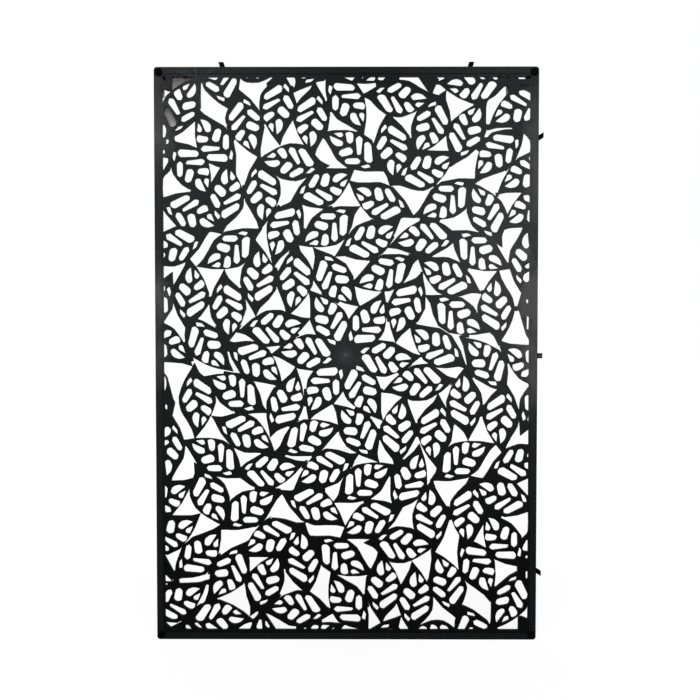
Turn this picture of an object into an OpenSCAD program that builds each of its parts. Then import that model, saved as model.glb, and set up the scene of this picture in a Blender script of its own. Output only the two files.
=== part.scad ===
// Openwork screen panel with a leaf lattice, for fences, arbours and balconies.
// One moulding carries the frame bar and the lattice. Snap clips on two edges join it to the
// next panel, and a plug closes the screw hole in each corner.
//
// Frame of the model: X to the right, Z up, Y towards the back. The origin is the middle of the
// panel on the plane of its back face, so the front face looks along -Y.
// The lattice is drawn for the reference window and stretches with the window.

/* [Panel] */
// Width of the frame, without the clips
panel_w = 600; // [560:5:640]
// Height of the frame, without the clips
panel_h = 900; // [850:5:950]
// Width of the frame bar, seen from the front
bar_w = 10.5; // [9:0.5:12]
// Depth of the frame bar, from front to back
bar_depth = 10; // [9:0.5:14]
// Radius of the four outer corners
corner_r = 4; // [2:0.5:6]
// Bevel along the outer front edge of the bar
edge_bevel = 0.7; // [0.4:0.1:1.2]

/* [Lattice] */
// Thickness of the lattice
web_thick = 5; // [3:0.5:6]
// How far the lattice lies behind the front of the bar
web_recess = 0.5; // [0.4:0.1:3]
// Width of the ledge between the side bars and the first openings
ledge_w = 2.5; // [1:0.5:4]
// Width of the ledge below the top bar and above the bottom bar
ledge_h = 5; // [3:0.5:6]
// Length of a leaf between the middles of its end slits
leaf_span = 65; // [63:0.5:67]

/* [Corners] */
// Distance of a plug's middle from the side edge
plug_in_x = 7.5; // [7:0.25:9]
// Distance of a plug's middle from the top or bottom edge
plug_in_z = 8; // [7:0.25:9]
// Diameter of a plug's head
plug_head_d = 12.5; // [11:0.5:13]
// Height of a plug's head above the bar
plug_head_h = 1.2; // [0.8:0.1:2]
// Diameter of a plug's shank
plug_shank_d = 9; // [8:0.5:10]
// Depth of the seat for a plug's shank
plug_seat_depth = 4; // [3:0.5:5]
// Gap round a plug's shank
plug_gap = 0.1; // [0.05:0.05:0.2]
// Diameter of the screw hole behind a plug
screw_hole_d = 5; // [4:0.5:6]
// Radius of the boss round each screw hole
boss_r = 15.5; // [14:0.5:17]

/* [Clips] */
// Width of a clip along the edge
clip_w = 8; // [6:0.5:10]
// How far a clip stands out from the edge
clip_reach = 8; // [6:0.5:10]
// How far a clip goes into the bar
clip_root = 5; // [4:0.5:6]
// How far the tip of a top clip leans away from the middle
top_clip_lean = 2.5; // [0:0.5:4]
// How far the tip of the upper or lower side clip leans away from the middle
side_clip_lean = 5; // [0:0.5:6]
// Depth of a clip where it leaves the bar
clip_depth = 7; // [6:0.5:8]
// Gap round a clip's root
clip_gap = 0.1; // [0.05:0.05:0.2]
// Distance of the two top clips from the middle
top_clip_x = 193; // [170:1:220]
// Distance of the upper and lower side clips from the middle
side_clip_z = 340; // [300:1:370]

/* [Hidden] */

charcoal = [0.17, 0.18, 0.18];
soft_black = [0.04, 0.04, 0.045];

// The window is what the bar and its ledge leave open for the lattice.
window_w = panel_w - 2 * (bar_w + ledge_w);
window_h = panel_h - 2 * (bar_w + ledge_h);
drawn_w = 574;
drawn_h = 869;
stretch = [window_w / drawn_w, window_h / drawn_h];
overlap = 0.5;
plug_x = panel_w / 2 - plug_in_x;
plug_z = panel_h / 2 - plug_in_z;
clip_y = -bar_depth / 2;
plug_boss_r = plug_head_d / 2 + 1;

// One leaf, drawn level: x runs from the slit at the stem to the slit at the tip, y is positive
// on the side of the two long cells. The edge is a smooth curve through these knots.
leaf_upper = [[-26, 18.5], [-10, 20.3], [6, 28.6], [25, 34.3], [45, 28.8], [62, 14.5], [75, -1]];
leaf_lower = [[88, -22], [72, -21.2], [55, -24], [38, -27.4], [16, -22.8], [-5, -5.8], [-18, 10]];

// Each cell is a polygon whose corners are [x, y, radius].
leaf_cells = [
  // two long cells, a short one and the slit at the tip
  [[-4, 11.5, 3], [22, 30, 6], [32, 25, 3], [7, 3.5, 5]],
  [[18, 5.5, 3], [38, 27, 5], [47.5, 20, 4], [22.5, 2, 2]],
  [[39.5, 7.5, 4], [54, 21, 4], [61, 10.5, 2], [46, 2, 4]],
  [[58, 4.5, 2.5], [65, 7, 2.5], [73, -5, 1.8], [60.5, -1.5, 2]],
  // the slit at the stem, an oval, an upright cell and a half moon
  [[-6.3, 5, 1.8], [0, 6.5, 2], [6.3, -6.5, 1.6], [-1, -3.5, 6]],
  [[7.5, -3.5, 4], [16, 2.2, 5], [30.5, -16.5, 4], [24.5, -22.5, 4]],
  [[27, -1, 3.5], [39.5, 2.5, 4], [46, -15.5, 4], [37, -21.5, 4]],
  [[47.5, 1.5, 3.5], [74, -11.2, 1.8], [62, -16.5, 9], [49.5, -12, 6]]
];

// The leaves, from the top down in two halves: the middles of the stem slit and of the tip slit,
// and the side of the long cells, 1 to the left of the way from stem to tip and -1 to its right.
upper_leaves = [
  [-261, 356, -249, 420, 1], [-196, 402, -205, 466, -1], [-155, 396, -155, 330, -1],
  [-269, 312, -219, 271, 1], [-180, 314, -229, 356, 1], [-93, 418, -116, 357, -1],
  [-56, 289, -117, 312, -1], [-145, 286, -123, 224, 1], [-203, 220, -179, 282, -1],
  [-277, 227, -213, 216, 1], [-237, 173, -301, 163, -1], [-162, 192, -204, 143, 1],
  [-74, 222, -115, 172, -1], [-68, 260, -4, 271, -1], [-8, 227, -51, 177, 1],
  [30, 296, -12, 345, -1], [-41, 399, -63, 338, -1], [-25, 415, 24, 373, 1],
  [53, 415, 115, 393, -1], [134, 392, 124, 328, 1], [185, 317, 196, 381, 1],
  [230, 435, 168, 415, 1], [302, 391, 238, 378, -1], [266, 331, 210, 299, -1],
  [318, 289, 253, 277, -1], [324, 236, 260, 222, -1], [222, 192, 211, 256, -1],
  [177, 270, 134, 220, 1], [91, 288, 155, 298, -1], [58, 355, 81, 293, 1],
  [86, 238, 22, 249, 1], [3, 178, 68, 190, -1], [155, 176, 91, 187, -1],
  [188, 189, 230, 140, -1], [191, 120, 128, 133, 1], [270, 120, 292, 182, -1],
  [248, 46, 226, 107, 1], [153, 89, 197, 39, -1], [117, 101, 75, 51, -1],
  [7, 31, 56, 73, -1], [84, 152, 34, 110, 1], [-27, 152, -6, 91, -1],
  [-23, 22, -35, 86, -1], [-89, 150, -77, 86, 1], [-151, 91, -129, 153, -1],
  [-200, 106, -177, 44, 1], [-258, 66, -236, 128, -1], [-230, 49, -206, -12, -1],
  [-145, 51, -81, 41, -1], [173, 5, 112, 27, 1], [-30, -8, -91, 14, -1],
  [-322, 26, -259, 10, 1], [-278, 101, -325, 55, -1], [-171, 467, -109, 449, -1],
  [-57, 429, -36, 491, 1], [75, 486, 38, 432, 1], [167, 462, 102, 456, 1]
];
lower_leaves = [
  [263, -354, 251, -418, 1], [198, -410, 214, -473, -1], [158, -394, 156, -329, -1],
  [274, -311, 224, -270, 1], [183, -312, 228, -359, 1], [96, -415, 117, -354, -1],
  [58, -287, 119, -307, -1], [147, -284, 124, -223, 1], [205, -218, 184, -280, -1],
  [280, -225, 216, -215, 1], [238, -172, 302, -162, -1], [163, -190, 205, -142, 1],
  [77, -220, 118, -170, -1], [71, -257, 7, -268, -1], [9, -225, 51, -176, 1],
  [-28, -293, 14, -342, -1], [46, -397, 65, -335, -1], [28, -412, -21, -370, 1],
  [-46, -415, -108, -393, -1], [-131, -391, -121, -327, 1], [-179, -312, -197, -374, 1],
  [-235, -429, -173, -409, 1], [-301, -396, -237, -382, -1], [-262, -330, -207, -297, -1],
  [-313, -286, -249, -275, -1], [-324, -232, -260, -219, -1], [-218, -191, -207, -255, -1],
  [-172, -268, -130, -219, 1], [-85, -286, -150, -297, -1], [-55, -355, -78, -293, 1],
  [-83, -235, -20, -246, 1], [-1, -176, -65, -187, -1], [-154, -175, -90, -185, -1],
  [-188, -186, -230, -137, -1], [-192, -118, -128, -132, 1], [-270, -117, -292, -178, -1],
  [-248, -41, -226, -103, 1], [-153, -84, -197, -35, -1], [-118, -98, -77, -48, -1],
  [-8, -29, -57, -72, -1], [-84, -151, -34, -110, 1], [27, -151, 6, -90, -1],
  [22, -21, 33, -84, -1], [90, -149, 78, -85, 1], [153, -89, 131, -150, -1],
  [200, -104, 177, -43, 1], [257, -66, 235, -128, -1], [230, -43, 206, 17, -1],
  [146, -50, 82, -40, -1], [-174, -1, -113, -24, 1], [29, 9, 91, -13, -1],
  [322, -19, 259, -3, 1], [279, -95, 325, -49, -1], [169, -461, 107, -443, -1],
  [61, -430, 38, -490, 1], [-72, -483, -33, -431, 1]
];
leaves = concat(upper_leaves, lower_leaves);

// Fillings between leaves that lie close together, each a polygon.
web_shapes = [
  // pads in the corners and along the edges
  [[-290, 440], [-272, 440], [-272, 414], [-278, 413], [-290, 418]],
  [[290, -440], [272, -440], [272, -414], [278, -413], [290, -418]],
  [[245, 440], [290, 440], [290, 412], [270, 412], [262, 408], [252.3, 408], [252.3, 422.7],
    [242, 424]],
  [[-245, -440], [-290, -440], [-290, -433], [-261, -433], [-260, -418], [-252, -410], [-242, -424]],
  [[-290, 365], [-270, 365], [-268, 330], [-276, 290], [-290, 274]],
  [[290, -365], [272, -365], [270, -330], [277, -290], [290, -274]],
  [[290, 105], [275, 100], [268, 75], [272, 68], [282, 34], [290, 20]],
  [[-290, -105], [-276, -102], [-270, -75], [-273, -68], [-282, -34], [-290, -22]],
  [[-290, -359], [-277, -358], [-268, -352], [-264, -360], [-276, -363], [-290, -368]],
  // the plain patch in the middle
  [[-16, -14], [16, -14], [16, 16], [-16, 16]],
  // upper left
  [[-216, 93], [-211, 93], [-213, 80], [-219, 80]],
  [[-207, 47], [-203, 47], [-189, 24], [-193, 22]],
  [[-245, 256], [-243, 259], [-225, 251], [-215, 235], [-218, 232], [-229, 247]],
  [[-163, 267], [-159, 267], [-157, 246], [-162, 246]],
  [[-119, 155], [-116, 155], [-112, 140], [-108, 137], [-106, 124], [-111, 124]],
  [[-91, 162], [-88, 160], [-79, 170], [-82, 173]],
  [[-68, 200], [-64, 200], [-66, 190], [-69, 190]],
  [[-37, 232], [-37, 228], [-22, 231], [-21, 235]],
  [[-40, 97], [-37, 102], [-9, 87], [-13, 81]],
  [[-106, 13], [-104, 17], [-76, 36], [-73, 32]],
  [[-113, 229], [-110, 226], [-103, 234], [-106, 237]],
  [[-125, 424], [-122, 419], [-108, 433], [-111, 437]],
  [[-256, 22], [-250, 22], [-240, -8], [-244, -10]],
  [[-191, 20], [-186, 20], [-184, 7], [-188, 6]],
  [[-188, 358], [-184, 358], [-174, 338], [-178, 335]],
  [[-133, 371], [-129, 371], [-126, 363], [-130, 361]],
  [[-32, 397], [-29, 399], [-23, 382], [-26, 379]],
  [[-112, 126], [-107, 126], [-107, 108], [-112, 108]],
  [[-167, 47], [-164, 49], [-171, 37], [-174, 39]],
  [[-168, 107], [-164, 107], [-157, 82], [-161, 82]],
  [[-49, 427], [-33.5, 429.5], [-31, 436], [-31, 440], [-50, 440]],
  [[-86, 421], [-83, 421], [-80, 415], [-83, 412]],
  // upper right
  [[112.5, 440], [112, 435], [126.5, 414], [131, 409], [134, 408], [141, 424], [150, 421], [150, 440]],
  [[22, 440], [36, 440], [36, 436], [23, 430]],
  [[46, 420], [46, 426], [53, 428], [74, 434], [74, 440], [83, 440], [83, 430], [76, 430], [51, 421]],
  [[198, 395], [198, 392], [208, 393], [208, 396]],
  [[263, 311], [267, 313], [262, 301], [250, 288], [247, 291], [258, 302]],
  [[115, 215], [115, 212], [147, 210], [147, 214]],
  [[38, 214], [38, 211], [50, 210], [50, 213]],
  [[73, 188], [76, 186], [67, 171], [58, 161], [52, 157], [51, 160], [60, 168]],
  [[36, 151], [36, 148], [54, 158], [52, 160]],
  [[97, 160], [98, 157], [111, 154], [135, 154], [135, 157], [112, 158]],
  [[146, 46], [148, 48], [167, 38], [165, 35]],
  [[178, 32], [178, 29], [193, 28.5], [193, 33]],
  [[240, 22], [243, 22], [250, 2], [255, -12], [252, -14], [246, 2]],
  [[264, 78], [269, 78], [269, 70], [265, 70]],
  [[99, 340], [103, 340], [100, 306], [95, 305]],
  [[136, 264], [139, 261], [143, 266], [140, 270]],
  [[211, 341], [220, 341], [210, 318], [203, 322]],
  [[214, 361], [224, 361], [224, 353.5], [214, 353]],
  [[276.9, 347.5], [290, 333], [290, 364], [274, 364], [272, 352]],
  [[259, 352], [259, 357], [275, 359], [274, 355]],
  [[233, 255], [236, 255], [239, 249], [235, 249]],
  [[178, 148], [181, 150], [193, 138], [190, 134]],
  [[211, 103], [216, 103], [216, 97], [211, 97]],
  [[62, 84], [67, 84], [68, 53], [64, 53]],
  [[116, 132], [120, 132], [121, 126], [118, 126]],
  [[240, 18], [243, 18], [250, -4], [247, -4]],
  // lower left
  [[-67, -52], [-61, -52], [-61, -80], [-67, -80]],
  [[-193, -24], [-193, -29], [-165, -33], [-162, -28], [-180, -26]],
  [[-176, -87], [-176, -92], [-150, -92], [-150, -88]],
  [[-90, -113], [-94, -108], [-78, -98], [-74, -102]],
  [[-135, -151], [-135, -156], [-97, -160], [-95, -155], [-112, -151]],
  [[-56, -157], [-54, -162], [-38, -152], [-40, -147]],
  [[-72, -178], [-67, -178], [-60, -165], [-65, -165]],
  [[-145, -208], [-145, -213], [-105, -214], [-106, -210]],
  [[-45, -207], [-45, -212], [-33, -215], [-33, -210]],
  [[-248, -200], [-243, -200], [-244, -215], [-248, -217]],
  [[-244, -288], [-240, -286], [-256, -303], [-260, -301]],
  [[-145, -272], [-142, -268], [-118, -254], [-122, -260]],
  [[-205, -321], [-199, -318], [-200, -313], [-206, -316]],
  [[-94, -303], [-89, -303], [-94, -338], [-100, -338]],
  [[-217, -336], [-212, -336], [-217, -347], [-220, -346]],
  [[-232, -394], [-228, -396], [-243, -408], [-247, -405]],
  [[-160, -350], [-155, -350], [-158, -362], [-162, -362]],
  [[-219, -386], [-219, -391], [-205, -389], [-204, -384]],
  [[-107, -378], [-103, -380], [-133, -408], [-137, -405]],
  [[-62, -424], [-60, -430], [-40, -426], [-38, -421]],
  [[-184, -440], [-180, -418], [-163, -407], [-149, -419], [-149, -440]],
  [
    [-150, -440], [-149, -419], [-146, -417], [-141, -411], [-139, -402], [-130, -403],
    [-128, -410], [-112, -434], [-112, -440]
  ],
  [[-80, -428], [-79.5, -440], [-66, -440], [-68, -428]],
  [[-246, -440], [-246, -430], [-234, -434], [-234, -440]],
  [[-290, -316], [-287.5, -316], [-273.5, -342], [-272, -340], [-268, -350], [-277, -356],
    [-288, -345.5], [-290, -345.5]],
  [[-226, -357], [-213, -354], [-213, -363], [-222, -363]],
  [[-290, -424], [-288, -423], [-279, -431.5], [-279, -440], [-290, -440]],
  [[-279, -431.5], [-262, -422.5], [-257, -421], [-257, -440], [-279, -440]],
  // lower right
  [[228, -437], [232, -432], [240, -431.5], [240.5, -437]],
  [[80, -27], [84, -30], [104, -14], [101, -9]],
  [[124, -13], [124, -16], [132, -16], [130, -12]],
  [[163, -48], [166, -46], [174, -36], [170, -35]],
  [[190, -19], [193, -18], [201, -34], [197, -36]],
  [[212, -77], [218, -77], [216, -96], [210, -96]],
  [[164, -100], [168, -100], [171, -110], [167, -110]],
  [[110, -106], [114, -106], [113, -128], [109, -128]],
  [[49, -115], [54, -115], [55, -133], [50, -133]],
  [[14, -81], [12, -85], [36, -100], [39, -96]],
  [[54, -52], [58, -52], [59, -58], [55, -58]],
  [[80, -173], [84, -176], [93, -166], [89, -163]],
  [[6, -175], [9, -177], [13, -168], [9, -167]],
  [[27, -229], [27, -233], [40, -230], [40, -226]],
  [[68, -191], [71, -193], [79, -178], [75, -177]],
  [[158, -238], [163, -238], [166, -260], [162, -260]],
  [[216, -230], [220, -229], [246, -253], [243, -257], [228, -246]],
  [[231, -366], [237, -366], [231, -382], [227, -384]],
  [[27, -378], [31, -378], [37, -398], [33, -399]],
  [[128, -355], [132, -355], [133, -367], [129, -367]],
  [[-224, 249], [-219, 248], [-213, 233], [-217, 231], [-221, 240]],
  [[217, -232], [221, -231], [230, -245], [234, -249], [230, -251], [221, -243]],
  [[-290, -360], [-268, -360], [-268, -366], [-290, -372]]
];

// Small square fillings: middle and half a side.
fillings = [
  [-253, 13, 2], [-259, -301, 2], [-45, -209, 2], [-205, -321, 2], [16, 10, 2],
  [-287, -198, 2], [287, 200, 2], [-81, 172, 2], [119, 437, 3], [-163, -30, 3],
  [132, -15, 3], [-197, -268, 2.5], [-70, 188, 3], [0, 17, 2.5], [230, -384, 3],
  [287, 104, 2.5], [101, 325, 4], [-113, 227, 3], [-107, -214, 3.5], [95, 304, 3],
  [0, -16, 3], [243, 436, 2.5], [-109, 436, 3], [-97, -311, 3.5], [-97, -319, 4],
  [-97, -328, 4.5], [233, -250, 2], [-215, 231, 2], [118, 437, 3], [-97, -316, 4],
  [-99, -323, 3], [-135, -401, 2], [-276.5, -355, 1.5]
];

// Cells along the edge, outside the drawn leaves.
edge_cells = [
  [[-294, 362, 1], [-284, 361, 3], [-281, 352, 4], [-283, 341, 1], [-294, 341, 1]],
  [[-282, 339, 1.5], [-277, 338, 2], [-278, 331, 2], [-282, 331, 1.5]],
  [[-294, 323, 1], [-284, 322, 2], [-283, 316, 2], [-294, 315, 1]],
  [[-294, 312, 1], [-278, 309, 2], [-279, 302, 3], [-286, 290, 2], [-294, 290, 1]],
  [[282, 89, 2], [286, 88, 2], [285.5, 82, 2], [282, 83, 2]],
  [[283, 62, 1.5], [287, 61, 1.5], [286.5, 41, 1.5], [283, 42, 1.5]],
  [[-286, -77, 2], [-282, -77, 2], [-282, -85, 2], [-286, -84, 2]],
  [[-294, -31, 1], [-285, -32, 3], [-283, -44, 3], [-285, -54, 1], [-294, -55, 1]],
  [[-294, -360.5, 1], [-283, -361, 1.5], [-284, -364, 1], [-294, -364, 1]],
  [[283.5, -341, 1.5], [294, -341, 1], [294, -354, 1], [284, -353, 1.5]],
  [[283, -316, 1.5], [294, -316, 1], [294, -322, 1], [283.5, -321, 1.5]],
  [[294, -289, 1], [284, -292, 2], [279, -302, 3], [278.5, -308, 2], [294, -311, 1]],
  [[-255, -427, 1], [-250, -428, 2], [-246, -433, 1], [-247, -440, 1], [-256, -440, 1]],
  [[-171, -433, 1], [-161, -426, 2], [-150, -422.5, 1.5], [-150, -425.5, 1.5], [-155, -440, 1],
    [-171, -440, 1]],
  [[-138, -418.5, 2.5], [-134.5, -418.5, 2.5], [-132.5, -440, 1], [-142.5, -440, 1],
    [-142.5, -430, 3]],
  [[-129, -420.5, 1.5], [-126, -422, 2], [-121, -430, 2.5], [-124, -434, 2], [-128.5, -429, 3]],
  [[-67, -431.5, 1], [-63.5, -431.5, 1], [-63, -440, 1], [-67.5, -440, 1]],
  [[268, 434.4, 1], [279, 434.4, 1], [279, 430.7, 1], [268, 430.7, 1]],
  [[143.5, 427.5, 1], [145, 433, 1.5], [153, 434.4, 1], [152.5, 431.5, 1]]
];

// ---------- outlines ----------

// Points of the curve that leaves q1 for q2, with q0 and q3 as its neighbours.
curve_steps = 1;
function curve(q0, q1, q2, q3) = [
  for (i = [0 : curve_steps - 1])
    let (t = i / curve_steps)
      0.5 * (2 * q1 + t * (q2 - q0) + t * t * (2 * q0 - 5 * q1 + 4 * q2 - q3)
        + t * t * t * (3 * q1 - q0 - 3 * q2 + q3))
];

// A pointed closed outline: smooth along each side, sharp where the two sides meet.
function side_curve(k) = [
  for (i = [0 : len(k) - 2])
    each curve(k[max(i - 1, 0)], k[i], k[i + 1], k[min(i + 2, len(k) - 1)])
];
leaf_edge = concat(
  side_curve(concat(leaf_upper, [leaf_lower[0]])),
  side_curve(concat(leaf_lower, [leaf_upper[0]]))
);

// A polygon with round corners, each an arc of two or three points, or a plain corner if small.
function unit(v) = v / norm(v);
function round_corner(a, b, c, r) =
  let (
    u = unit(a - b), w = unit(c - b), half = acos(u * w) / 2,
    back = min(r / tan(half), 0.48 * norm(a - b), 0.48 * norm(c - b)),
    rr = back * tan(half), mid = b + unit(u + w) * rr / sin(half),
    start = b + u * back - mid, turn = sign(cross(b - a, c - b)) * (180 - 2 * half),
    steps = r < 2.6 || abs(turn) < 32 ? 0 : r > 6.5 && abs(turn) > 60 ? 2 : 1
  ) steps == 0 ? [b * 0.75 + (mid + unit(b - mid) * rr) * 0.25] : [
    for (i = [0 : steps])
      let (q = turn * i / steps)
        mid + [start.x * cos(q) - start.y * sin(q), start.x * sin(q) + start.y * cos(q)]
  ];
function xy(c) = [c.x, c.y];
function rounded(corners) = [
  for (i = [0 : len(corners) - 1])
    let (n = len(corners))
      each round_corner(
        xy(corners[(i + n - 1) % n]), xy(corners[i]), xy(corners[(i + 1) % n]), corners[i].z
      )
];

// Puts a point of the level leaf in its place on the panel.
function placed(p, leaf) =
  let (
    heading = atan2(leaf[3] - leaf[1], leaf[2] - leaf[0]),
    middle = [leaf[0] + leaf[2], leaf[1] + leaf[3]] / 2,
    grow = leaf_span / 65,
    x = (p.x - 32.5) * grow, y = p.y * leaf[4] * grow,
    q = middle + [x * cos(heading) - y * sin(heading), x * sin(heading) + y * cos(heading)]
  ) [q.x * stretch.x, q.y * stretch.y];

// ---------- the lattice, seen from the front ----------

// The lattice is built up in level strips. Every second strip is a hair thinner on both faces,
// which keeps the strips apart as faces of their own.
strips = 6;
seam_step = 0.1;

function low(pts) = [min([for (p = pts) p.x]), min([for (p = pts) p.y])];
function high(pts) = [max([for (p = pts) p.x]), max([for (p = pts) p.y])];
function apart(pts, from, to) =
  let (a = low(pts), b = high(pts)) a.x > to.x || a.y > to.y || b.x < from.x || b.y < from.y;
function within(pts, from, to) =
  let (a = low(pts), b = high(pts)) a.x > from.x && a.y > from.y && b.x < to.x && b.y < to.y;
function scaled(pts) = [for (p = pts) [p.x * stretch.x, p.y * stretch.y]];

window_to = [window_w, window_h] / 2;
plate_to = [panel_w / 2 - bar_w, panel_h / 2 - bar_w];

module area(from, to) {
  translate(from) square(to - from);
}

// A polygon if it touches the strip, cut off where it runs past the limit.
module part_in(pts, from, to, limit) {
  if (!apart(pts, from, to)) {
    if (within(pts, -limit, limit)) {
      polygon(pts);
    } else {
      intersection() {
        polygon(pts);
        area(-limit, limit);
      }
    }
  }
}

module leaves_and_webs(from, to) {
  for (leaf = leaves)
    part_in([for (p = leaf_edge) placed(p, leaf)], from, to, plate_to);
  for (web = web_shapes)
    part_in(scaled(web), from, to, plate_to);
  for (f = fillings) {
    square_points = [for (c = [[-1, -1], [1, -1], [1, 1], [-1, 1]]) [f.x, f.y] + f.z * c];
    part_in(scaled(square_points), from, to, plate_to);
  }
}

// The ledge runs round the lattice and ends at the bar; the pads carry the screw bosses.
module ledge_and_pads() {
  difference() {
    area(-plate_to, plate_to);
    area(-window_to, window_to);
  }
  for (turn = [1, -1])
    intersection() {
      translate(turn * [plug_x, plug_z]) circle(boss_r);
      area(-plate_to, plate_to);
    }
}

module openings(from, to) {
  for (leaf = leaves, cell = leaf_cells)
    part_in([for (p = rounded(cell)) placed(p, leaf)], from, to, window_to);
  for (cell = edge_cells)
    part_in(scaled(rounded(cell)), from, to, window_to);
  for (sx = [1, -1], sz = [1, -1])
    translate([sx * plug_x, sz * plug_z]) circle(plug_boss_r - overlap);
}

module strip_face(from, to) {
  difference() {
    intersection() {
      union() {
        leaves_and_webs(from, to);
        ledge_and_pads();
      }
      area(from, to);
    }
    openings(from, to);
  }
}

// ---------- panel ----------

// Seams between strips stay clear of the lattice's corners by lying off its round values.
function seam(i) =
  i == 0 ? -plate_to.y : i == strips ? plate_to.y : 2 * plate_to.y * (i / strips - 0.5) + 0.137;
module strip(i) {
  step = i % 2 * seam_step;
  translate([0, web_recess - bar_depth + web_thick - step, 0])
    rotate([90, 0, 0])
      linear_extrude(web_thick - 2 * step)
        strip_face([-plate_to.x, seam(i)], [plate_to.x, seam(i + 1)]);
}

// Section of the bar: across from the outer edge, then up from the back face.
bar_section = [
  [0, 0], [bar_w, 0], [bar_w, bar_depth - 0.3], [bar_w - 0.3, bar_depth],
  [edge_bevel, bar_depth], [0, bar_depth - edge_bevel]
];
corner_section = [
  [0, 0], [corner_r, 0], [corner_r, bar_depth - edge_bevel],
  [corner_r - edge_bevel, bar_depth], [0, bar_depth]
];

// A bar lies along Z with its outer edge at x = 0 and its inner edge towards +X.
module bar(length) {
  translate([0, 0, -length / 2])
    linear_extrude(length)
      polygon([for (p = bar_section) [p.x, -p.y]]);
}

module frame_bars() {
  for (turn = [0, 180])
    rotate([0, turn, 0]) {
      translate([-panel_w / 2, 0, 0]) bar(panel_h - 2 * corner_r);
      translate([0, 0, panel_h / 2]) rotate([0, 90, 0]) bar(panel_w - 2 * corner_r);
      for (side = [1, -1])
        translate([-panel_w / 2 + corner_r, 0, side * (panel_h / 2 - corner_r)])
          rotate([90, 0, 0])
            rotate([0, 0, side > 0 ? 90 : 180])
              rotate_extrude(angle = 90) polygon(corner_section);
    }
}

module at_corners() {
  for (sx = [1, -1], sz = [1, -1])
    translate([sx * plug_x, 0, sz * plug_z]) children();
}

module disc_along_y(r, from, to) {
  translate([0, to, 0]) rotate([90, 0, 0]) cylinder(r = r, h = to - from);
}

// A clip's root, grown by a gap all round, with the edge of the bar at z = 0.
module clip_pocket() {
  translate([-clip_w / 2 - clip_gap, clip_y - clip_depth / 2 - clip_gap, -clip_root - clip_gap])
    cube([clip_w + 2 * clip_gap, clip_depth + 2 * clip_gap, clip_root + clip_gap + 1]);
}

module at_top(x) {
  translate([x, 0, panel_h / 2]) children();
}
module at_side(z) {
  translate([panel_w / 2, 0, z]) rotate([0, 90, 0]) children();
}

module frame() {
  difference() {
    union() {
      frame_bars();
      at_corners() disc_along_y(plug_boss_r, -bar_depth, 0);
    }
    at_corners() {
      disc_along_y(screw_hole_d / 2, -bar_depth - 1, 1);
      disc_along_y(plug_shank_d / 2 + plug_gap, -bar_depth - 1, -bar_depth + plug_seat_depth);
    }
    for (x = [top_clip_x, -top_clip_x]) at_top(x) clip_pocket();
    for (z = [side_clip_z, 0, -side_clip_z]) at_side(z) clip_pocket();
  }
}

module panel() {
  color(charcoal)
    for (i = [0 : strips - 1]) {
      strip(i);
      if (i == 0) frame();
    }
}

// ---------- corner plugs ----------

// Half section of a plug: a shank, and a low head with a small hollow in its middle.
module corner_plug(sx, sz) {
  r = plug_head_d / 2;
  h = plug_head_h;
  s = plug_shank_d / 2;
  d = plug_seat_depth - 0.3;
  color(soft_black)
    translate([sx * plug_x, -bar_depth, sz * plug_z])
      rotate([90, 0, 0])
        rotate_extrude()
          polygon([
            [0, -d], [s - 0.4, -d], [s, -d + 0.6], [s, 0], [r, 0], [r, h * 0.35],
            [r - 0.5, h * 0.75], [r - 1.6, h], [1.4, h], [0.8, h * 0.6], [0, h * 0.6]
          ]);
}

module corner_plug_top_left() corner_plug(-1, 1);
module corner_plug_top_right() corner_plug(1, 1);
module corner_plug_bottom_left() corner_plug(-1, -1);
module corner_plug_bottom_right() corner_plug(1, -1);

// ---------- joining clips ----------

// The clip points along +Z. Its root is square; its tongue leans, gets thinner towards the tip,
// has a barb behind and a groove down its front.
module clip(lean) {
  c = clip_depth / 2;
  half = clip_w / 2;
  groove_w = clip_w * 0.4;
  color(soft_black)
    translate([0, clip_y, 0]) {
      translate([-half, -c, -clip_root])
        cube([clip_w, clip_depth, clip_root]);
      intersection() {
        translate([-clip_w * 2, 0, 0])
          rotate([90, 0, 90])
            linear_extrude(clip_w * 4)
              polygon([
                [-c, -overlap], [c, -overlap], [c, clip_reach * 0.3],
                [c - 1.8, clip_reach * 0.42], [c - 1, clip_reach * 0.66],
                [c - 2.6, clip_reach - 0.5], [c - 3.2, clip_reach],
                [-c + 0.8, clip_reach], [-c, clip_reach - 1]
              ]);
        rotate([90, 0, 0])
          linear_extrude(clip_depth * 2, center = true)
            polygon([
              [-half, -overlap], [half, -overlap], [half, 0], [half + lean, clip_reach],
              [-half + lean, clip_reach], [-half, 0]
            ]);
        groove(lean, groove_w);
      }
    }
}

// All of the tongue but a groove in its front that runs along the lean.
module groove(lean, width) {
  difference() {
    translate([-clip_w * 2, -clip_depth, -1])
      cube([clip_w * 4, clip_depth * 2, clip_reach + 2]);
    translate([0, -clip_depth / 2 + 0.8, 0])
      rotate([90, 0, 0])
        linear_extrude(clip_depth)
          polygon([
            [-width / 2 + lean * 0.2, clip_reach * 0.2],
            [width / 2 + lean * 0.2, clip_reach * 0.2],
            [width / 2 + lean * 0.8, clip_reach * 0.8],
            [-width / 2 + lean * 0.8, clip_reach * 0.8]
          ]);
  }
}

module top_clip_left() at_top(-top_clip_x) clip(-top_clip_lean);
module top_clip_right() at_top(top_clip_x) clip(top_clip_lean);
module side_clip_upper() at_side(side_clip_z) clip(-side_clip_lean);
module side_clip_middle() at_side(0) clip(0);
module side_clip_lower() at_side(-side_clip_z) clip(side_clip_lean);

panel();
corner_plug_top_left();
corner_plug_top_right();
corner_plug_bottom_left();
corner_plug_bottom_right();
top_clip_left();
top_clip_right();
side_clip_upper();
side_clip_middle();
side_clip_lower();
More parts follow.
